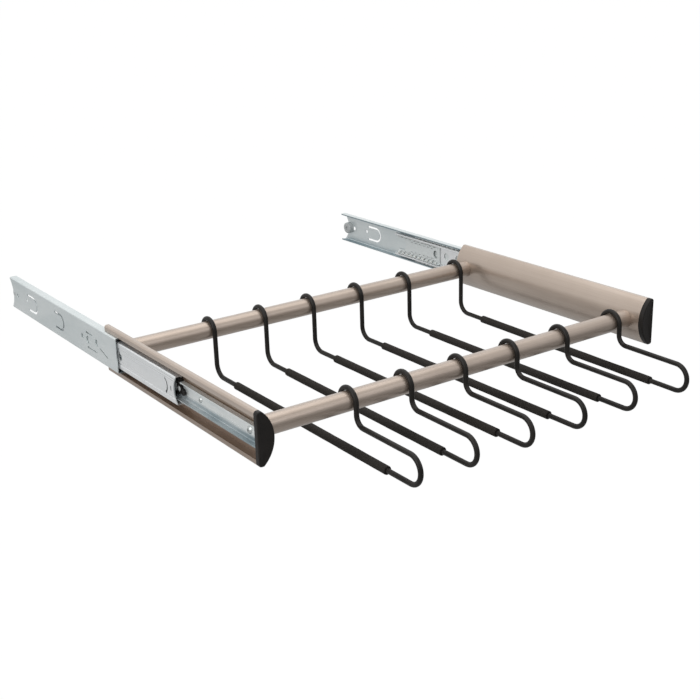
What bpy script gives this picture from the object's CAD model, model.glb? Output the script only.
"""Looks of a pull-out trouser rack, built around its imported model."""
import math

import bpy
import numpy as np
from mathutils import Matrix


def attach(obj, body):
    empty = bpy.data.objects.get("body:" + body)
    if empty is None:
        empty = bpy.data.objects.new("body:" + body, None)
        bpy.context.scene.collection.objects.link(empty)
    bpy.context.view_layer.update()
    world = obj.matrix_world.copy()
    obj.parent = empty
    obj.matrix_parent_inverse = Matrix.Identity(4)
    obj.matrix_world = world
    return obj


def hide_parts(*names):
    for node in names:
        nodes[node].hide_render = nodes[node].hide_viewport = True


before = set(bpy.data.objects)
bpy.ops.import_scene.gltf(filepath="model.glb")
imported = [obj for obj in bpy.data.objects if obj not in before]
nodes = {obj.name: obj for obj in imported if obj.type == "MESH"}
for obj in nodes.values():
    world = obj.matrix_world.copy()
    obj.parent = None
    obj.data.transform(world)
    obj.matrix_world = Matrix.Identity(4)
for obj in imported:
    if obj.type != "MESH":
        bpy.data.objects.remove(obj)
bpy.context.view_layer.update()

# The studio: a plain pale floor well below the rack, which hangs between two cabinet sides,
# and soft light from large panels above. The camera stands at the front left, a little above.
CAMERA_PLACE = (-0.53323, -1.46515, 0.47768)
CAMERA_YAW = math.radians(34.95)
CAMERA_PITCH = math.radians(19.75)
CAMERA_ROLL = math.radians(1.73)
LENS_MM = 60.66
SENSOR_MM = 36.0
FLOOR_Z = -0.55
FLOOR_HALF = 40.0
FLOOR_COLOUR = (0.34, 0.34, 0.335)
BACKGROUND_COLOUR = (1.0, 1.0, 1.0)
BACKGROUND_SHARE = 0.97
FLOOR_GLOW = 1.03
# how much of the white a shiny face sees, in front of the rack and behind it, and the direction
# and range over which the share goes from one to the other
FLOOR_GLOSSY_SHARES = (0.15, 0.50)
FLOOR_ALONG = (-1.9, 1.0)
FLOOR_FADE = (-4.4, 1.8)
WORLD_GLOSSY_SHARES = (0.10, 0.95)
WORLD_ALONG = (0.0, 1.0, 1.2)
WORLD_FADE = (-0.7, 1.0)
ROOM_COLOUR = (0.95, 0.97, 1.0)
ROOM_LIGHT = 0.42
# name, place, point that it faces, width, height, power in watts, colour
PANELS = [
    ("panel_above", (0.20, -0.10, 1.70), (0.29, -0.25, 0.0), 2.6, 2.0, 17.0, (1.0, 0.99, 0.97)),
    ("panel_left", (-1.90, -0.70, 0.90), (0.20, -0.25, 0.0), 1.8, 1.4, 17.0, (1.0, 0.99, 0.98)),
    ("panel_front", (0.90, -2.30, 1.20), (0.29, -0.25, 0.0), 1.6, 1.0, 5.0, (0.97, 0.98, 1.0)),
]


def aim(obj, place, right, up, back):
    """Puts an object at place with its local x, y and z along right, up and back."""
    turn = Matrix((right, up, back)).transposed().to_4x4()
    obj.matrix_world = Matrix.Translation(place) @ turn


def camera_axes(yaw, pitch, roll):
    """Forward points along yaw and down by pitch. Right and down are then turned by roll about
    it."""
    ahead = math.cos(pitch)
    forward = np.array([math.sin(yaw) * ahead, math.cos(yaw) * ahead, -math.sin(pitch)])
    level = np.array([math.cos(yaw), -math.sin(yaw), 0.0])
    down = np.cross(forward, level)
    right = math.cos(roll) * level + math.sin(roll) * down
    down = math.cos(roll) * down - math.sin(roll) * level
    return right, down, forward


def facing(place, target):
    """Axes of a lamp at place whose back points away from target, its right kept level."""
    back = np.subtract(place, target)
    back = back / np.linalg.norm(back)
    right = np.cross((0.0, 0.0, 1.0), back)
    right = right / np.linalg.norm(right)
    return right, np.cross(back, right), back


def link(obj):
    """Puts an object in the scene."""
    bpy.context.scene.collection.objects.link(obj)
    return obj


camera = link(bpy.data.objects.new("camera", bpy.data.cameras.new("camera")))
camera.data.lens = LENS_MM
camera.data.sensor_fit = "HORIZONTAL"
camera.data.sensor_width = SENSOR_MM
right, down, forward = camera_axes(CAMERA_YAW, CAMERA_PITCH, CAMERA_ROLL)
aim(camera, CAMERA_PLACE, right, -down, -forward)
bpy.context.scene.camera = camera
bpy.context.scene.view_settings.view_transform = "Standard"

for name, place, target, width, height, watts, colour in PANELS:
    lamp = bpy.data.lights.new(name, "AREA")
    lamp.shape = "RECTANGLE"
    lamp.size = width
    lamp.size_y = height
    lamp.energy = watts
    lamp.color = colour
    aim(link(bpy.data.objects.new(name, lamp)), place, *facing(place, target))


def feed(tree, socket, value):
    """Links another node's output to a socket, or sets a value on it; a colour gets its alpha."""
    if isinstance(value, bpy.types.NodeSocket):
        tree.links.new(value, socket)
    elif socket.type == "RGBA":
        socket.default_value = (*value, 1.0)
    else:
        socket.default_value = value


def add(tree, kind, **inputs):
    """Adds a node and feeds its named inputs."""
    made = tree.nodes.new(kind)
    for key, value in inputs.items():
        feed(tree, made.inputs[key.replace("_", " ")], value)
    return made


def reckon(tree, operation, a, b=0.0):
    """Math node of two numbers or outputs."""
    made = tree.nodes.new("ShaderNodeMath")
    made.operation = operation
    for socket, value in zip(made.inputs, (a, b)):
        feed(tree, socket, value)
    return made.outputs[0]


def product(tree, first, *others):
    """The first number or output times each of the others."""
    for other in others:
        first = reckon(tree, "MULTIPLY", first, other)
    return first


def between(tree, value, low, high, from_low=0.35, from_high=0.65, kind="LINEAR"):
    """Goes from low to high while the value goes from from_low to from_high, which is the usual
    spread of a noise where none is given, and is held at the ends."""
    made = add(tree, "ShaderNodeMapRange", Value=value, From_Min=from_low, From_Max=from_high,
               To_Min=low, To_Max=high)
    made.interpolation_type = kind
    return made.outputs["Result"]


def seen_directly(tree, glossy_share):
    """1 for rays from the camera or through glass, and glossy_share for those off a shiny face."""
    path = tree.nodes.new("ShaderNodeLightPath").outputs
    plain = reckon(tree, "MAXIMUM", path["Is Camera Ray"], path["Is Transmission Ray"])
    return reckon(tree, "MAXIMUM", plain, product(tree, path["Is Glossy Ray"], glossy_share))


def fade(tree, along, low, high, shares):
    """Goes smoothly from the first share to the second while the sum of a direction's x, y and z,
    or a floor point's x and y, each times its number in along, goes from low to high."""
    kind = "Generated" if len(along) == 3 else "Object"
    place = tree.nodes.new("ShaderNodeTexCoord").outputs[kind]
    parts = add(tree, "ShaderNodeSeparateXYZ", Vector=place).outputs
    total = 0.0
    for part, times in zip(parts, along):
        total = reckon(tree, "ADD", total, product(tree, part, times))
    return between(tree, total, *shares, low, high, kind="SMOOTHSTEP")


def bare_tree(owner):
    """Empty node tree of a world or a material."""
    owner.use_nodes = True
    owner.node_tree.nodes.clear()
    return owner.node_tree


def show(tree, share, first, second, output_kind):
    """Sends a mix of two shaders to the output, the second by its share."""
    both = tree.nodes.new("ShaderNodeMixShader")
    for socket, source in zip(both.inputs, (share, first.outputs[0], second.outputs[0])):
        tree.links.new(source, socket)
    tree.links.new(both.outputs[0], tree.nodes.new(output_kind).inputs[0])


world = bpy.data.worlds.new("studio")
bpy.context.scene.world = world
tree = bare_tree(world)
room = add(tree, "ShaderNodeBackground", Color=ROOM_COLOUR, Strength=ROOM_LIGHT)
white = add(tree, "ShaderNodeBackground", Color=BACKGROUND_COLOUR, Strength=1.0)
behind = fade(tree, WORLD_ALONG, *WORLD_FADE, WORLD_GLOSSY_SHARES)
show(tree, seen_directly(tree, behind), room, white, "ShaderNodeOutputWorld")

floor_mesh = bpy.data.meshes.new("floor")
floor_signs = ((-1, -1), (1, -1), (1, 1), (-1, 1))
floor_corners = [(x * FLOOR_HALF, y * FLOOR_HALF, FLOOR_Z) for x, y in floor_signs]
floor_mesh.from_pydata(floor_corners, [], [(0, 1, 2, 3)])
floor = link(bpy.data.objects.new("floor", floor_mesh))
paper = bpy.data.materials.new("pale_floor")
tree = bare_tree(paper)
matt = add(tree, "ShaderNodeBsdfDiffuse", Color=FLOOR_COLOUR)
glow = add(tree, "ShaderNodeEmission", Color=BACKGROUND_COLOUR, Strength=FLOOR_GLOW)
behind = fade(tree, FLOOR_ALONG, *FLOOR_FADE, FLOOR_GLOSSY_SHARES)
share = product(tree, seen_directly(tree, behind), BACKGROUND_SHARE)
show(tree, share, matt, glow, "ShaderNodeOutputMaterial")
floor_mesh.materials.append(paper)


# Side rails: hollow aluminium extrusions of D section, anodised champagne. The die leaves faint
# lines along them, and the satin etch before anodising leaves a fine even grain. The runner's
# grease and dust gather in the groove that holds the inner member.
RAIL_COLOURS = ((0.490, 0.398, 0.328), (0.420, 0.332, 0.264))
RAIL_ROUGHNESS = (0.30, 0.44)
RAIL_METALLIC = 0.60
RAIL_COAT = 0.90
RAIL_COAT_ROUGHNESS = 0.30
RAIL_COAT_IOR = 1.75
ANODISED_CLOUDS = (14.0, 14.0, 14.0)
DIE_LINES = (900.0, 5.0, 900.0)
DIE_LINE_DEPTH = 0.000004
ETCH_GRAIN = 2600.0
ETCH_DEPTH = 0.000003
GREASED_COLOUR = (0.240, 0.155, 0.098)
GREASED_SHARES = (0.8, 1.0)
# from the rack's middle to a cabinet side, and from there to a rail's outer side
HALF_WIDTH = 0.2935
RAIL_STAND = 0.0035
RAIL_CORNER = 0.0032
GROOVE_DEPTH = 0.0092
GROOVE_HALF_H = 0.0229
# how far a change of colour lies from the face that it must take in or leave out
SKIN = 0.00015


def finish(name, metallic, roughness=0.5):
    """New material with one Principled shader, whose plain values are set on its own sockets."""
    made = bpy.data.materials.new(name)
    made.use_nodes = True
    shader = made.node_tree.nodes["Principled BSDF"]
    shader.inputs["Metallic"].default_value = metallic
    shader.inputs["Roughness"].default_value = roughness
    return made, made.node_tree, shader


def grain(tree, stretch, detail=3.0, roughness=0.5):
    """Noise over the place on the object in metres, each axis multiplied by stretch."""
    place = tree.nodes.new("ShaderNodeTexCoord").outputs["Object"]
    mapping = add(tree, "ShaderNodeMapping", Vector=place, Scale=stretch)
    return add(tree, "ShaderNodeTexNoise", Vector=mapping.outputs[0], Scale=1.0, Detail=detail,
               Roughness=roughness).outputs["Fac"]


def blend_colours(tree, share, first, second):
    """Colour between two, each a value or an output, by share from 0 to 1."""
    made = tree.nodes.new("ShaderNodeMix")
    made.data_type = "RGBA"
    for number, value in ((0, share), (6, first), (7, second)):
        feed(tree, made.inputs[number], value)
    return made.outputs[2]


def relief(tree, shader, height, depth, under=None):
    """Bump of the given depth in metres, over the one under it where there is one."""
    made = tree.nodes.new("ShaderNodeBump")
    made.inputs["Strength"].default_value = 1.0
    made.inputs["Distance"].default_value = depth
    tree.links.new(height, made.inputs["Height"])
    if under is not None:
        tree.links.new(under, made.inputs["Normal"])
    tree.links.new(made.outputs[0], shader.inputs["Normal"])
    return made.outputs[0]


def dress(material, *names):
    """Gives CAD nodes a material in each of their slots."""
    for name in names:
        for place in nodes[name].material_slots:
            place.material = material


def both_sides(name):
    """Names of the left and the right node."""
    return [side + name for side in ("left_", "right_")]


def place_on_part(tree):
    """Distance across from the rack's middle, and height above the runners' middle, in metres."""
    place = tree.nodes.new("ShaderNodeTexCoord").outputs["Object"]
    parts = add(tree, "ShaderNodeSeparateXYZ", Vector=place).outputs
    return reckon(tree, "ABSOLUTE", reckon(tree, "SUBTRACT", parts[0], HALF_WIDTH)), parts[2]


def in_groove(tree, cloud):
    """Share of the runner's grease and dust: 1 on the groove's floor and walls, where the distance
    across and the height both lie in the groove, and on the lip below it, into which they creep.
    It is less where the cloud is thin."""
    across, height = place_on_part(tree)
    outside = HALF_WIDTH - RAIL_STAND
    groove = product(
        tree,
        reckon(tree, "LESS_THAN", reckon(tree, "ABSOLUTE", height), GROOVE_HALF_H + SKIN),
        reckon(tree, "GREATER_THAN", across, outside - GROOVE_DEPTH - SKIN),
        reckon(tree, "LESS_THAN", across, outside - SKIN),
    )
    lip = product(
        tree,
        reckon(tree, "LESS_THAN", height, SKIN - GROOVE_HALF_H),
        between(tree, across, 0.0, 1.0, outside - RAIL_CORNER, outside - SKIN),
    )
    either = reckon(tree, "MAXIMUM", groove, lip)
    return product(tree, either, between(tree, cloud, *GREASED_SHARES))


def anodised(name, lines, colours, mark=None):
    """Champagne anodised aluminium, with drawn or extruded lines along one axis, its two colours
    mixed by those lines and soft clouds. The mark gives the share of the greased colour from the
    place on the part."""
    made, tree, shader = finish(name, RAIL_METALLIC)
    shader.inputs["Coat Weight"].default_value = RAIL_COAT
    shader.inputs["Coat Roughness"].default_value = RAIL_COAT_ROUGHNESS
    shader.inputs["Coat IOR"].default_value = RAIL_COAT_IOR
    drawn = grain(tree, lines, detail=4.0)
    cloud = grain(tree, ANODISED_CLOUDS, detail=2.0)
    average = product(tree, reckon(tree, "ADD", drawn, cloud), 0.5)
    colour = blend_colours(tree, between(tree, average, 0.0, 1.0), *colours)
    if mark:
        colour = blend_colours(tree, mark(tree, cloud), colour, GREASED_COLOUR)
    tree.links.new(colour, shader.inputs["Base Color"])
    tree.links.new(between(tree, drawn, *RAIL_ROUGHNESS), shader.inputs["Roughness"])
    under = relief(tree, shader, drawn, DIE_LINE_DEPTH)
    relief(tree, shader, grain(tree, (ETCH_GRAIN,) * 3, detail=1.0), ETCH_DEPTH, under)
    return made


rail_anodised = anodised("rail_anodised", DIE_LINES, RAIL_COLOURS, in_groove)
dress(rail_anodised, *both_sides("side_rail"))


# Cross tubes: drawn aluminium tubes with the rails' anodised finish, their lines along the tube.
# At each end a screw through the inner member and the rail runs into the plug inside the tube.
TUBE_COLOURS = ((0.470, 0.378, 0.308), (0.400, 0.312, 0.246))
DRAWN_LINES = (5.0, 900.0, 900.0)

tube_anodised = anodised("tube_anodised", DRAWN_LINES, TUBE_COLOURS)
dress(tube_anodised, "front_tube", "rear_tube")


# End caps and tube plugs: black moulded plastic with the fine even grain of a spark-eroded mould.
# A cap has the rail's D outline and a rounded front edge, and its tongue grips the rail's hollow.
FRONT_Y = -0.527
RAIL_T = 0.020
RAIL_HALF_H = 0.030
RAIL_EDGE_T = 0.006
BOW_R = (RAIL_HALF_H ** 2 + (RAIL_T - RAIL_EDGE_T) ** 2) / (2 * (RAIL_T - RAIL_EDGE_T))
BOW_POINTS = 72
CORNER_POINTS = 12
CAP_T = 0.0065
CAP_ROUND = 0.0016
CAP_ROUND_RINGS = 9
CAP_DISH = 0.0004
# insets of the rear face's inner ring and of the dish, and how far the next ring lies from an edge
CAP_REAR_INSET = 0.0012
CAP_DISH_INSET = 0.0030
CAP_EDGE = 0.0006
CAP_ROUGHNESS = 0.42
PLUG_ROUGHNESS = 0.50
PLASTIC_COLOURS = ((0.0125, 0.0105, 0.0095), (0.0210, 0.0180, 0.0160))
PLASTIC_SPECULAR = 0.22
MOULD_CLOUDS = (45.0, 45.0, 45.0)
MOULD_GLOSSIER = 0.05
MOULD_DULLER = 0.07
MOULD_GRAIN = 1500.0
MOULD_DEPTH = 0.00002


def moulded(name, colours, roughness, depth):
    """Moulded plastic: a mould grain as relief, and faint clouds in gloss and colour, from fresh to
    worn."""
    made, tree, shader = finish(name, metallic=0.0)
    cloud = grain(tree, MOULD_CLOUDS)
    colour = blend_colours(tree, between(tree, cloud, 0.0, 1.0), *colours)
    gloss = between(tree, cloud, roughness - MOULD_GLOSSIER, roughness + MOULD_DULLER)
    tree.links.new(colour, shader.inputs["Base Color"])
    tree.links.new(gloss, shader.inputs["Roughness"])
    relief(tree, shader, grain(tree, (MOULD_GRAIN,) * 3, detail=2.0), depth)
    shader.inputs["Specular IOR Level"].default_value = PLASTIC_SPECULAR
    return made


def turn_points(centre, radius, start, end, count):
    """Points at centre plus radius times (cosine, sine) of equal steps from start to end, which are
    in degrees."""
    angle = np.radians(np.linspace(start, end, count))[:, None]
    return np.asarray(centre) + radius * np.hstack([np.cos(angle), np.sin(angle)])


def rail_outline(inset):
    """Depth and height round the D outline, every line and arc moved in by inset: the bow's circle
    meets the top and bottom edges, and a quarter circle joins those to the flat outer side."""
    half = RAIL_HALF_H - inset
    bow = BOW_R - inset
    end = math.degrees(math.asin(half / bow))
    corner = RAIL_CORNER - inset
    top = (RAIL_CORNER, RAIL_HALF_H - RAIL_CORNER)
    return np.vstack([
        turn_points((RAIL_T - BOW_R, 0.0), bow, end, -end, BOW_POINTS),
        turn_points((top[0], -top[1]), corner, 270, 180, CORNER_POINTS),
        turn_points(top, corner, 180, 90, CORNER_POINTS),
    ])


def shell(name, rings, material, poles=None, looped=False):
    """Mesh of rings of points: each ring's points join their neighbours and the next ring's points.
    The ends close on two poles, or the last ring joins the first where the rings are looped."""
    count, around = rings.shape[:2]
    ring = np.arange(count if looped else count - 1)[:, None]
    place = np.arange(around)[None, :]
    beyond = (ring + 1) % count
    after = (place + 1) % around
    quad = [
        ring * around + place, beyond * around + place,
        beyond * around + after, ring * around + after,
    ]
    faces = np.stack(np.broadcast_arrays(*quad), -1).reshape(-1, 4).tolist()
    points = rings.reshape(-1, 3)
    if not looped:
        points = np.vstack([points, poles])
        first = np.arange(around)
        after = (first + 1) % around
        last = (count - 1) * around
        start_pole = np.full(around, count * around)
        faces += np.stack([start_pole, first, after], -1).tolist()
        faces += np.stack([last + after, last + first, start_pole + 1], -1).tolist()
    mesh = bpy.data.meshes.new(name)
    mesh.from_pydata(points.tolist(), [], faces)
    mesh.polygons.foreach_set("use_smooth", np.ones(len(mesh.polygons), dtype=bool))
    mesh.materials.append(material)
    return link(bpy.data.objects.new(name, mesh))


def end_cap(side):
    """Rings of the D outline go forward from the rail's end, curl in round a quarter circle and end
    in a slightly dished front. The right cap is the left one mirrored, its rings in reverse."""
    angle = np.radians(np.linspace(0, 90, CAP_ROUND_RINGS))
    insets = np.concatenate([
        [CAP_REAR_INSET, 0.0, 0.0],
        CAP_ROUND * (1 - np.cos(angle)),
        [CAP_ROUND + CAP_EDGE, CAP_DISH_INSET],
    ])
    depths = np.concatenate([
        [0.0, 0.0, CAP_EDGE],
        CAP_T - CAP_ROUND + CAP_ROUND * np.sin(angle),
        [CAP_T, CAP_T - CAP_DISH],
    ])
    rings = np.stack([
        np.column_stack([outline[:, 0], np.full(len(outline), -depth), outline[:, 1]])
        for outline, depth in zip((rail_outline(inset) for inset in insets), depths)
    ])
    poles = np.array([[RAIL_T / 2, 0.0, 0.0], [RAIL_T / 2, CAP_DISH - CAP_T, 0.0]])
    across = -1.0 if side == "left_" else 1.0
    for points in (rings, poles):
        points[..., 0] = HALF_WIDTH + across * (HALF_WIDTH - RAIL_STAND - points[..., 0])
        points[..., 1] += FRONT_Y
    if side == "right_":
        rings = rings[:, ::-1]
    return shell(side + "moulded_cap", rings, cap_plastic, poles)


cap_plastic = moulded("cap_plastic", PLASTIC_COLOURS, CAP_ROUGHNESS, MOULD_DEPTH)
plug_plastic = moulded("plug_plastic", PLASTIC_COLOURS, PLUG_ROUGHNESS, MOULD_DEPTH)
dress(plug_plastic, "tube_plugs")
for side in ("left_", "right_"):
    cap = end_cap(side)
    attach(cap, "rack")
    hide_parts(side + "end_cap")


# Runner members: roll-formed steel strip, zinc-plated and blue passivated. The strip's rolling
# lines run along the member, and the passivation leaves soft bluish and greenish clouds.
CABINET_COLOURS = ((0.780, 0.822, 0.825), (0.670, 0.728, 0.735))
CABINET_ROUGHNESS = (0.30, 0.44)
MIDDLE_COLOURS = ((0.900, 0.912, 0.918), (0.800, 0.825, 0.838))
INNER_COLOURS = ((0.950, 0.960, 0.950), (0.760, 0.810, 0.810))
INNER_CLOUDS = (16.0, 9.0, 60.0)
# grease in the cabinet member's ball tracks: heights between which it gathers, and the inner
# faces of the flanges and the web, which bound it
GREASE_COLOUR = (0.190, 0.270, 0.310)
GREASE_SHARES = (0.75, 1.0)
TRACK_FROM = 0.0145
TRACK_TO = 0.0185
FLANGE_FACE = 0.0218
WEB_INSIDE = 0.2920
# the darker step along the inner member
BAND_COLOUR = (0.250, 0.315, 0.345)
BAND_SHARES = (0.5, 1.0)
BAND_MIDDLE = -0.0095
BAND_HALF = 0.0060
BAND_CORE = 0.35 * BAND_HALF
STRIP_CLOUDS = (16.0, 7.0, 22.0)
ROLL_LINES = (700.0, 6.0, 700.0)
ROLL_LINE_DEPTH = 0.000006
ZINC_ROUGHNESS = (0.26, 0.40)
ZINC_METALLIC = 0.60


def in_tracks(tree, cloud):
    """Share of grease: it rises from the web towards each ball track, inside the channel alone, and
    the cloud breaks it up."""
    across, height = place_on_part(tree)
    away = reckon(tree, "ABSOLUTE", height)
    return product(
        tree,
        between(tree, away, 0.0, 1.0, TRACK_FROM, TRACK_TO),
        reckon(tree, "LESS_THAN", away, FLANGE_FACE),
        reckon(tree, "LESS_THAN", across, WEB_INSIDE),
        between(tree, cloud, *GREASE_SHARES),
    )


def in_band(tree, cloud):
    """Share of a long band of deeper tint below the middle, strongest at its own middle."""
    height = place_on_part(tree)[1]
    away = reckon(tree, "ABSOLUTE", reckon(tree, "SUBTRACT", height, BAND_MIDDLE))
    return product(
        tree,
        between(tree, away, 1.0, 0.0, BAND_CORE, BAND_HALF),
        between(tree, cloud, *BAND_SHARES),
    )


def zinc(name, colours, clouds=STRIP_CLOUDS, roughness=ZINC_ROUGHNESS, mark=None, mark_colour=None):
    """Zinc-plated strip: clouds of passivation tint, and rolling lines in gloss and relief. The
    mark gives the share of a further colour from the place on the part."""
    made, tree, shader = finish(name, ZINC_METALLIC)
    lines = grain(tree, ROLL_LINES, detail=4.0)
    cloud = grain(tree, clouds, detail=4.0, roughness=0.6)
    colour = blend_colours(tree, between(tree, cloud, 0.0, 1.0), *colours)
    if mark:
        colour = blend_colours(tree, mark(tree, cloud), colour, mark_colour)
    tree.links.new(colour, shader.inputs["Base Color"])
    tree.links.new(between(tree, lines, *roughness), shader.inputs["Roughness"])
    relief(tree, shader, lines, ROLL_LINE_DEPTH)
    return made


cabinet_zinc = zinc("cabinet_zinc", CABINET_COLOURS, roughness=CABINET_ROUGHNESS,
                    mark=in_tracks, mark_colour=GREASE_COLOUR)
intermediate_zinc = zinc("intermediate_zinc", MIDDLE_COLOURS)
inner_zinc = zinc("inner_zinc", INNER_COLOURS, clouds=INNER_CLOUDS,
                  mark=in_band, mark_colour=BAND_COLOUR)
dress(cabinet_zinc, *both_sides("cabinet_member"))
dress(intermediate_zinc, *both_sides("intermediate_member"))
dress(inner_zinc, *both_sides("inner_member"))


# Ball cages and balls: thin plated strip with a window for each ball, and hardened steel balls
# that carry a film of grease.
CAGE_COLOURS = ((0.800, 0.835, 0.830), (0.680, 0.725, 0.725))
CAGE_ROUGHNESS = (0.30, 0.42)
BALL_COLOURS = ((0.620, 0.620, 0.610), (0.480, 0.470, 0.430))
BALL_CLOUDS = (220.0, 220.0, 220.0)
BALL_ROUGHNESS = (0.08, 0.18)

cage_zinc = zinc("cage_zinc", CAGE_COLOURS, roughness=CAGE_ROUGHNESS)
ball_steel = zinc("ball_steel", BALL_COLOURS, clouds=BALL_CLOUDS, roughness=BALL_ROUGHNESS)
for part in ("outer", "inner"):
    dress(cage_zinc, *both_sides(f"{part}_ball_cage"))
    dress(ball_steel, *both_sides(f"{part}_balls"))


# Screws and lever rivets: cold-headed steel, zinc-plated brighter than the strip. Small screws hold
# the inner members in the rails, and long ones run on into the tube plugs.
SCREW_COLOURS = ((0.640, 0.660, 0.650), (0.520, 0.550, 0.550))
SCREW_CLOUDS = (180.0, 180.0, 180.0)
SCREW_ROUGHNESS = (0.20, 0.32)

screw_zinc = zinc("screw_zinc", SCREW_COLOURS, clouds=SCREW_CLOUDS, roughness=SCREW_ROUGHNESS)
dress(screw_zinc, "tube_screws", *both_sides("member_screws"), *both_sides("lever_rivet"))


# Release levers: small black mouldings of the caps' plastic, a little glossier. Each turns on a
# rivet in the inner member, and lets the rack be taken off its runners.
LEVER_ROUGHNESS = 0.38

lever_plastic = moulded("lever_plastic", PLASTIC_COLOURS, LEVER_ROUGHNESS, MOULD_DEPTH)
dress(lever_plastic, *both_sides("release_lever"))


# Rear bumpers: grey moulded rubber buttons in the rear ends of the cabinet members. They stop the
# intermediate members when the rack is pushed in.
BUMPER_COLOURS = ((0.600, 0.625, 0.625), (0.500, 0.520, 0.520))
BUMPER_ROUGHNESS = 0.62
BUMPER_DEPTH = 0.00003

bumper_rubber = moulded("bumper_rubber", BUMPER_COLOURS, BUMPER_ROUGHNESS, BUMPER_DEPTH)
dress(bumper_rubber, *both_sides("rear_bumper"))


# Hanger wires: steel wire bent in one plane into a long loop with a hook at each end, and coated
# black all over, so that the coating rounds the cut ends. Each loop hangs on both cross tubes.
WIRE_R = 0.003
WIRE_SIDES = 28
HOOK_R = 0.0148
HOOK_TAIL = 0.005
# how far below the tubes' middles the lower, sleeved run and the upper run lie
SLEEVE_DROP = 0.057
UPPER_DROP = 0.0238
REAR_BEND_R = 0.016
FRONT_BEND_R = 0.012
LOOP_R = (SLEEVE_DROP - UPPER_DROP) / 2
# where the rear drop and the front rise lie from back to front, and the centre of the end loop
DROP_Y = (-0.2118, -0.5188)
LOOP_Y = -0.6114
HOOK_POINTS = 40
REAR_BEND_POINTS = 22
FRONT_BEND_POINTS = 20
LOOP_POINTS = 40
# the rounded cut ends: height, and the first and last of their rings' angles in degrees
DOME_H = 0.6 * WIRE_R
DOME_ANGLES = (15, 80)
DOME_RINGS = 5
# places of the hooks along the rear and front tube, as shares of the length between the rails,
# from its middle
RACK_GAP = 0.540
REAR_SHARES = (-0.2927, -0.1527, -0.0137, 0.1318, 0.2854, 0.4616)
FRONT_SHARES = (-0.2951, -0.1564, -0.0122, 0.1342, 0.2861, 0.4541)
HANGERS = len(REAR_SHARES)
WIRE_COLOURS = ((0.0120, 0.0105, 0.0092), (0.0210, 0.0180, 0.0155))
COATING_ROUGHNESS = 0.36
COATING_DEPTH = 0.000012


def wire_route(span):
    """Forward distance and height along a hanger: tail, rear hook, drop, rear bend, lower run,
    end loop, upper run, front bend, rise, front hook and tail, as straight lines and arcs."""
    loop = LOOP_Y - DROP_Y[0]
    front = -span
    rear_foot = (-REAR_BEND_R, REAR_BEND_R - SLEEVE_DROP)
    front_foot = (front - FRONT_BEND_R, FRONT_BEND_R - UPPER_DROP)
    return np.vstack([
        [(2 * HOOK_R, -HOOK_TAIL)],
        turn_points((HOOK_R, 0.0), HOOK_R, 0, 180, HOOK_POINTS),
        turn_points(rear_foot, REAR_BEND_R, 0, -90, REAR_BEND_POINTS),
        turn_points((loop, LOOP_R - SLEEVE_DROP), LOOP_R, 270, 90, LOOP_POINTS),
        turn_points(front_foot, FRONT_BEND_R, -90, 0, FRONT_BEND_POINTS),
        turn_points((front + HOOK_R, 0.0), HOOK_R, 180, 0, HOOK_POINTS),
        [(front + 2 * HOOK_R, -HOOK_TAIL)],
    ])


def carried_circle(route):
    """Circles of the wire's radius carried along the route, each across the direction between its
    neighbours. At both ends a flattened half ball of rings closes the wire: with the angle, a ring
    goes out by the dome's height times its sine and narrows to the radius times its cosine."""
    step = np.diff(route, axis=0)
    step /= np.linalg.norm(step, axis=1, keepdims=True)
    ahead = np.vstack([step[:1], step[:-1] + step[1:], step[-1:]])
    ahead /= np.linalg.norm(ahead, axis=1, keepdims=True)
    angle = np.radians(np.linspace(*DOME_ANGLES, DOME_RINGS))
    start = route[0] - DOME_H * np.sin(angle[::-1])[:, None] * ahead[0]
    end = route[-1] + DOME_H * np.sin(angle)[:, None] * ahead[-1]
    middle = np.vstack([start, route, end])
    tips = np.array([route[0] - DOME_H * ahead[0], route[-1] + DOME_H * ahead[-1]])
    repeats = (DOME_RINGS, 1)
    ahead = np.vstack([np.tile(ahead[0], repeats), ahead, np.tile(ahead[-1], repeats)])
    radii = WIRE_R * np.concatenate([np.cos(angle[::-1]), np.ones(len(route)), np.cos(angle)])
    around = np.linspace(0, 2 * math.pi, WIRE_SIDES, endpoint=False)
    up = np.column_stack([-ahead[:, 1], ahead[:, 0]])
    in_plane = middle[:, None, :] + (radii[:, None] * np.cos(around))[..., None] * up[:, None, :]
    rings = np.dstack([-radii[:, None] * np.sin(around), in_plane[..., 0], in_plane[..., 1]])
    return rings, np.column_stack([np.zeros(2), tips])


def skew(number):
    """How much further along the tubes a hanger's front hook sits than its rear one."""
    return (FRONT_SHARES[number] - REAR_SHARES[number]) * RACK_GAP


def hang(points, number):
    """Turns points about the rear drop, so that the loop meets both tubes, and moves them there."""
    turn = math.atan2(skew(number), DROP_Y[0] - DROP_Y[1])
    x = math.cos(turn) * points[..., 0] - math.sin(turn) * points[..., 1]
    y = math.sin(turn) * points[..., 0] + math.cos(turn) * points[..., 1]
    middle = HALF_WIDTH + REAR_SHARES[number] * RACK_GAP
    return np.stack([x + middle, y + DROP_Y[0], points[..., 2]], -1)


wire_coating = moulded("wire_coating", WIRE_COLOURS, COATING_ROUGHNESS, COATING_DEPTH)
for number in range(HANGERS):
    rings, tips = carried_circle(wire_route(math.hypot(DROP_Y[0] - DROP_Y[1], skew(number))))
    wire = shell(f"bent_wire_{number + 1}", hang(rings, number), wire_coating, hang(tips, number))
    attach(wire, f"hanger_{number + 1}")
    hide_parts(f"hanger_wire_{number + 1}")


# Anti-slip sleeves: rough black rubber tube pushed over each hanger's lower run, so that the
# trousers don't slide. The ends are cut square and a little soft, and the wall is not quite even.
SLEEVE_R = 0.005
SLEEVE_BORE_R = 0.00305
SLEEVE_LIP = 0.0008
SLEEVE_FROM = 0.0487
SLEEVE_LEN = 0.312
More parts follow.
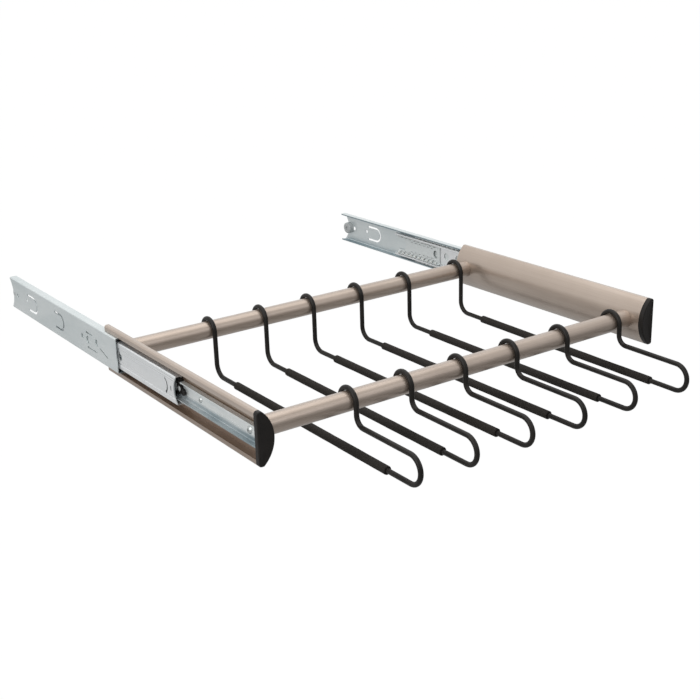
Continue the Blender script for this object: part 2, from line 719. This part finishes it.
# waves of the wall: how fast each runs along the sleeve, its height, and their shift by hanger
SLEEVE_WAVES = ((41.0, 0.00006), (97.0, 0.00004), (211.0, 0.00003))
SLEEVE_SHIFT = 2.1
SLEEVE_SIDES = 40
SLEEVE_RINGS = 90
LIP_RINGS = 6
BORE_RINGS = 12
SLEEVE_COLOURS = ((0.0170, 0.0145, 0.0125), (0.0520, 0.0460, 0.0400))
SLEEVE_ROUGHNESS = 0.85
SLEEVE_SPECULAR = 0.25
SPECK_GRAIN = 1300.0
SPECK_SPREAD = (0.42, 0.72)
PORE_GRAIN = 2600.0
PORE_DEPTH = 0.00018


def sleeve_rings(number):
    """A closed profile turned about the wire: the outside's radius varies by a sum of sines of the
    distance along it, quarter circles round both lips, and the bore runs back inside."""
    angle = np.radians(np.linspace(0, 90, LIP_RINGS))
    along = np.linspace(SLEEVE_LIP, SLEEVE_LEN - SLEEVE_LIP, SLEEVE_RINGS)
    swell = sum(size * np.sin(rate * along + SLEEVE_SHIFT * number + rate)
                for rate, size in SLEEVE_WAVES)
    lip = SLEEVE_R - SLEEVE_LIP
    start = lip + SLEEVE_LIP * np.sin(angle) + swell[0]
    end = lip + SLEEVE_LIP * np.cos(angle) + swell[-1]
    along = np.concatenate([
        SLEEVE_LIP * (1 - np.cos(angle)),
        along[1:-1],
        SLEEVE_LEN - SLEEVE_LIP * (1 - np.sin(angle)),
        np.linspace(SLEEVE_LEN, 0.0, BORE_RINGS),
    ])
    bore = np.full(BORE_RINGS, SLEEVE_BORE_R)
    radii = np.concatenate([start, SLEEVE_R + swell[1:-1], end, bore])
    around = np.linspace(0, 2 * math.pi, SLEEVE_SIDES, endpoint=False)
    x = radii[:, None] * np.cos(around)
    y = np.broadcast_to(-SLEEVE_FROM - along[:, None], x.shape)
    z = -radii[:, None] * np.sin(around) - SLEEVE_DROP
    return hang(np.dstack([x, y, z]), number)


def rough_rubber(name):
    """Rough rubber: dull specks over a darker ground, and fine open pores as relief."""
    made, tree, shader = finish(name, metallic=0.0, roughness=SLEEVE_ROUGHNESS)
    specks = grain(tree, (SPECK_GRAIN,) * 3, roughness=0.7)
    share = between(tree, specks, 0.0, 1.0, *SPECK_SPREAD)
    colour = blend_colours(tree, share, *SLEEVE_COLOURS)
    tree.links.new(colour, shader.inputs["Base Color"])
    relief(tree, shader, grain(tree, (PORE_GRAIN,) * 3, detail=2.0), PORE_DEPTH)
    shader.inputs["Specular IOR Level"].default_value = SLEEVE_SPECULAR
    return made


sleeve_rubber = rough_rubber("sleeve_rubber")
for number in range(HANGERS):
    sleeve = shell(f"rubber_sleeve_{number + 1}", sleeve_rings(number), sleeve_rubber, looped=True)
    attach(sleeve, f"hanger_{number + 1}")
    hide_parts(f"hanger_sleeve_{number + 1}")
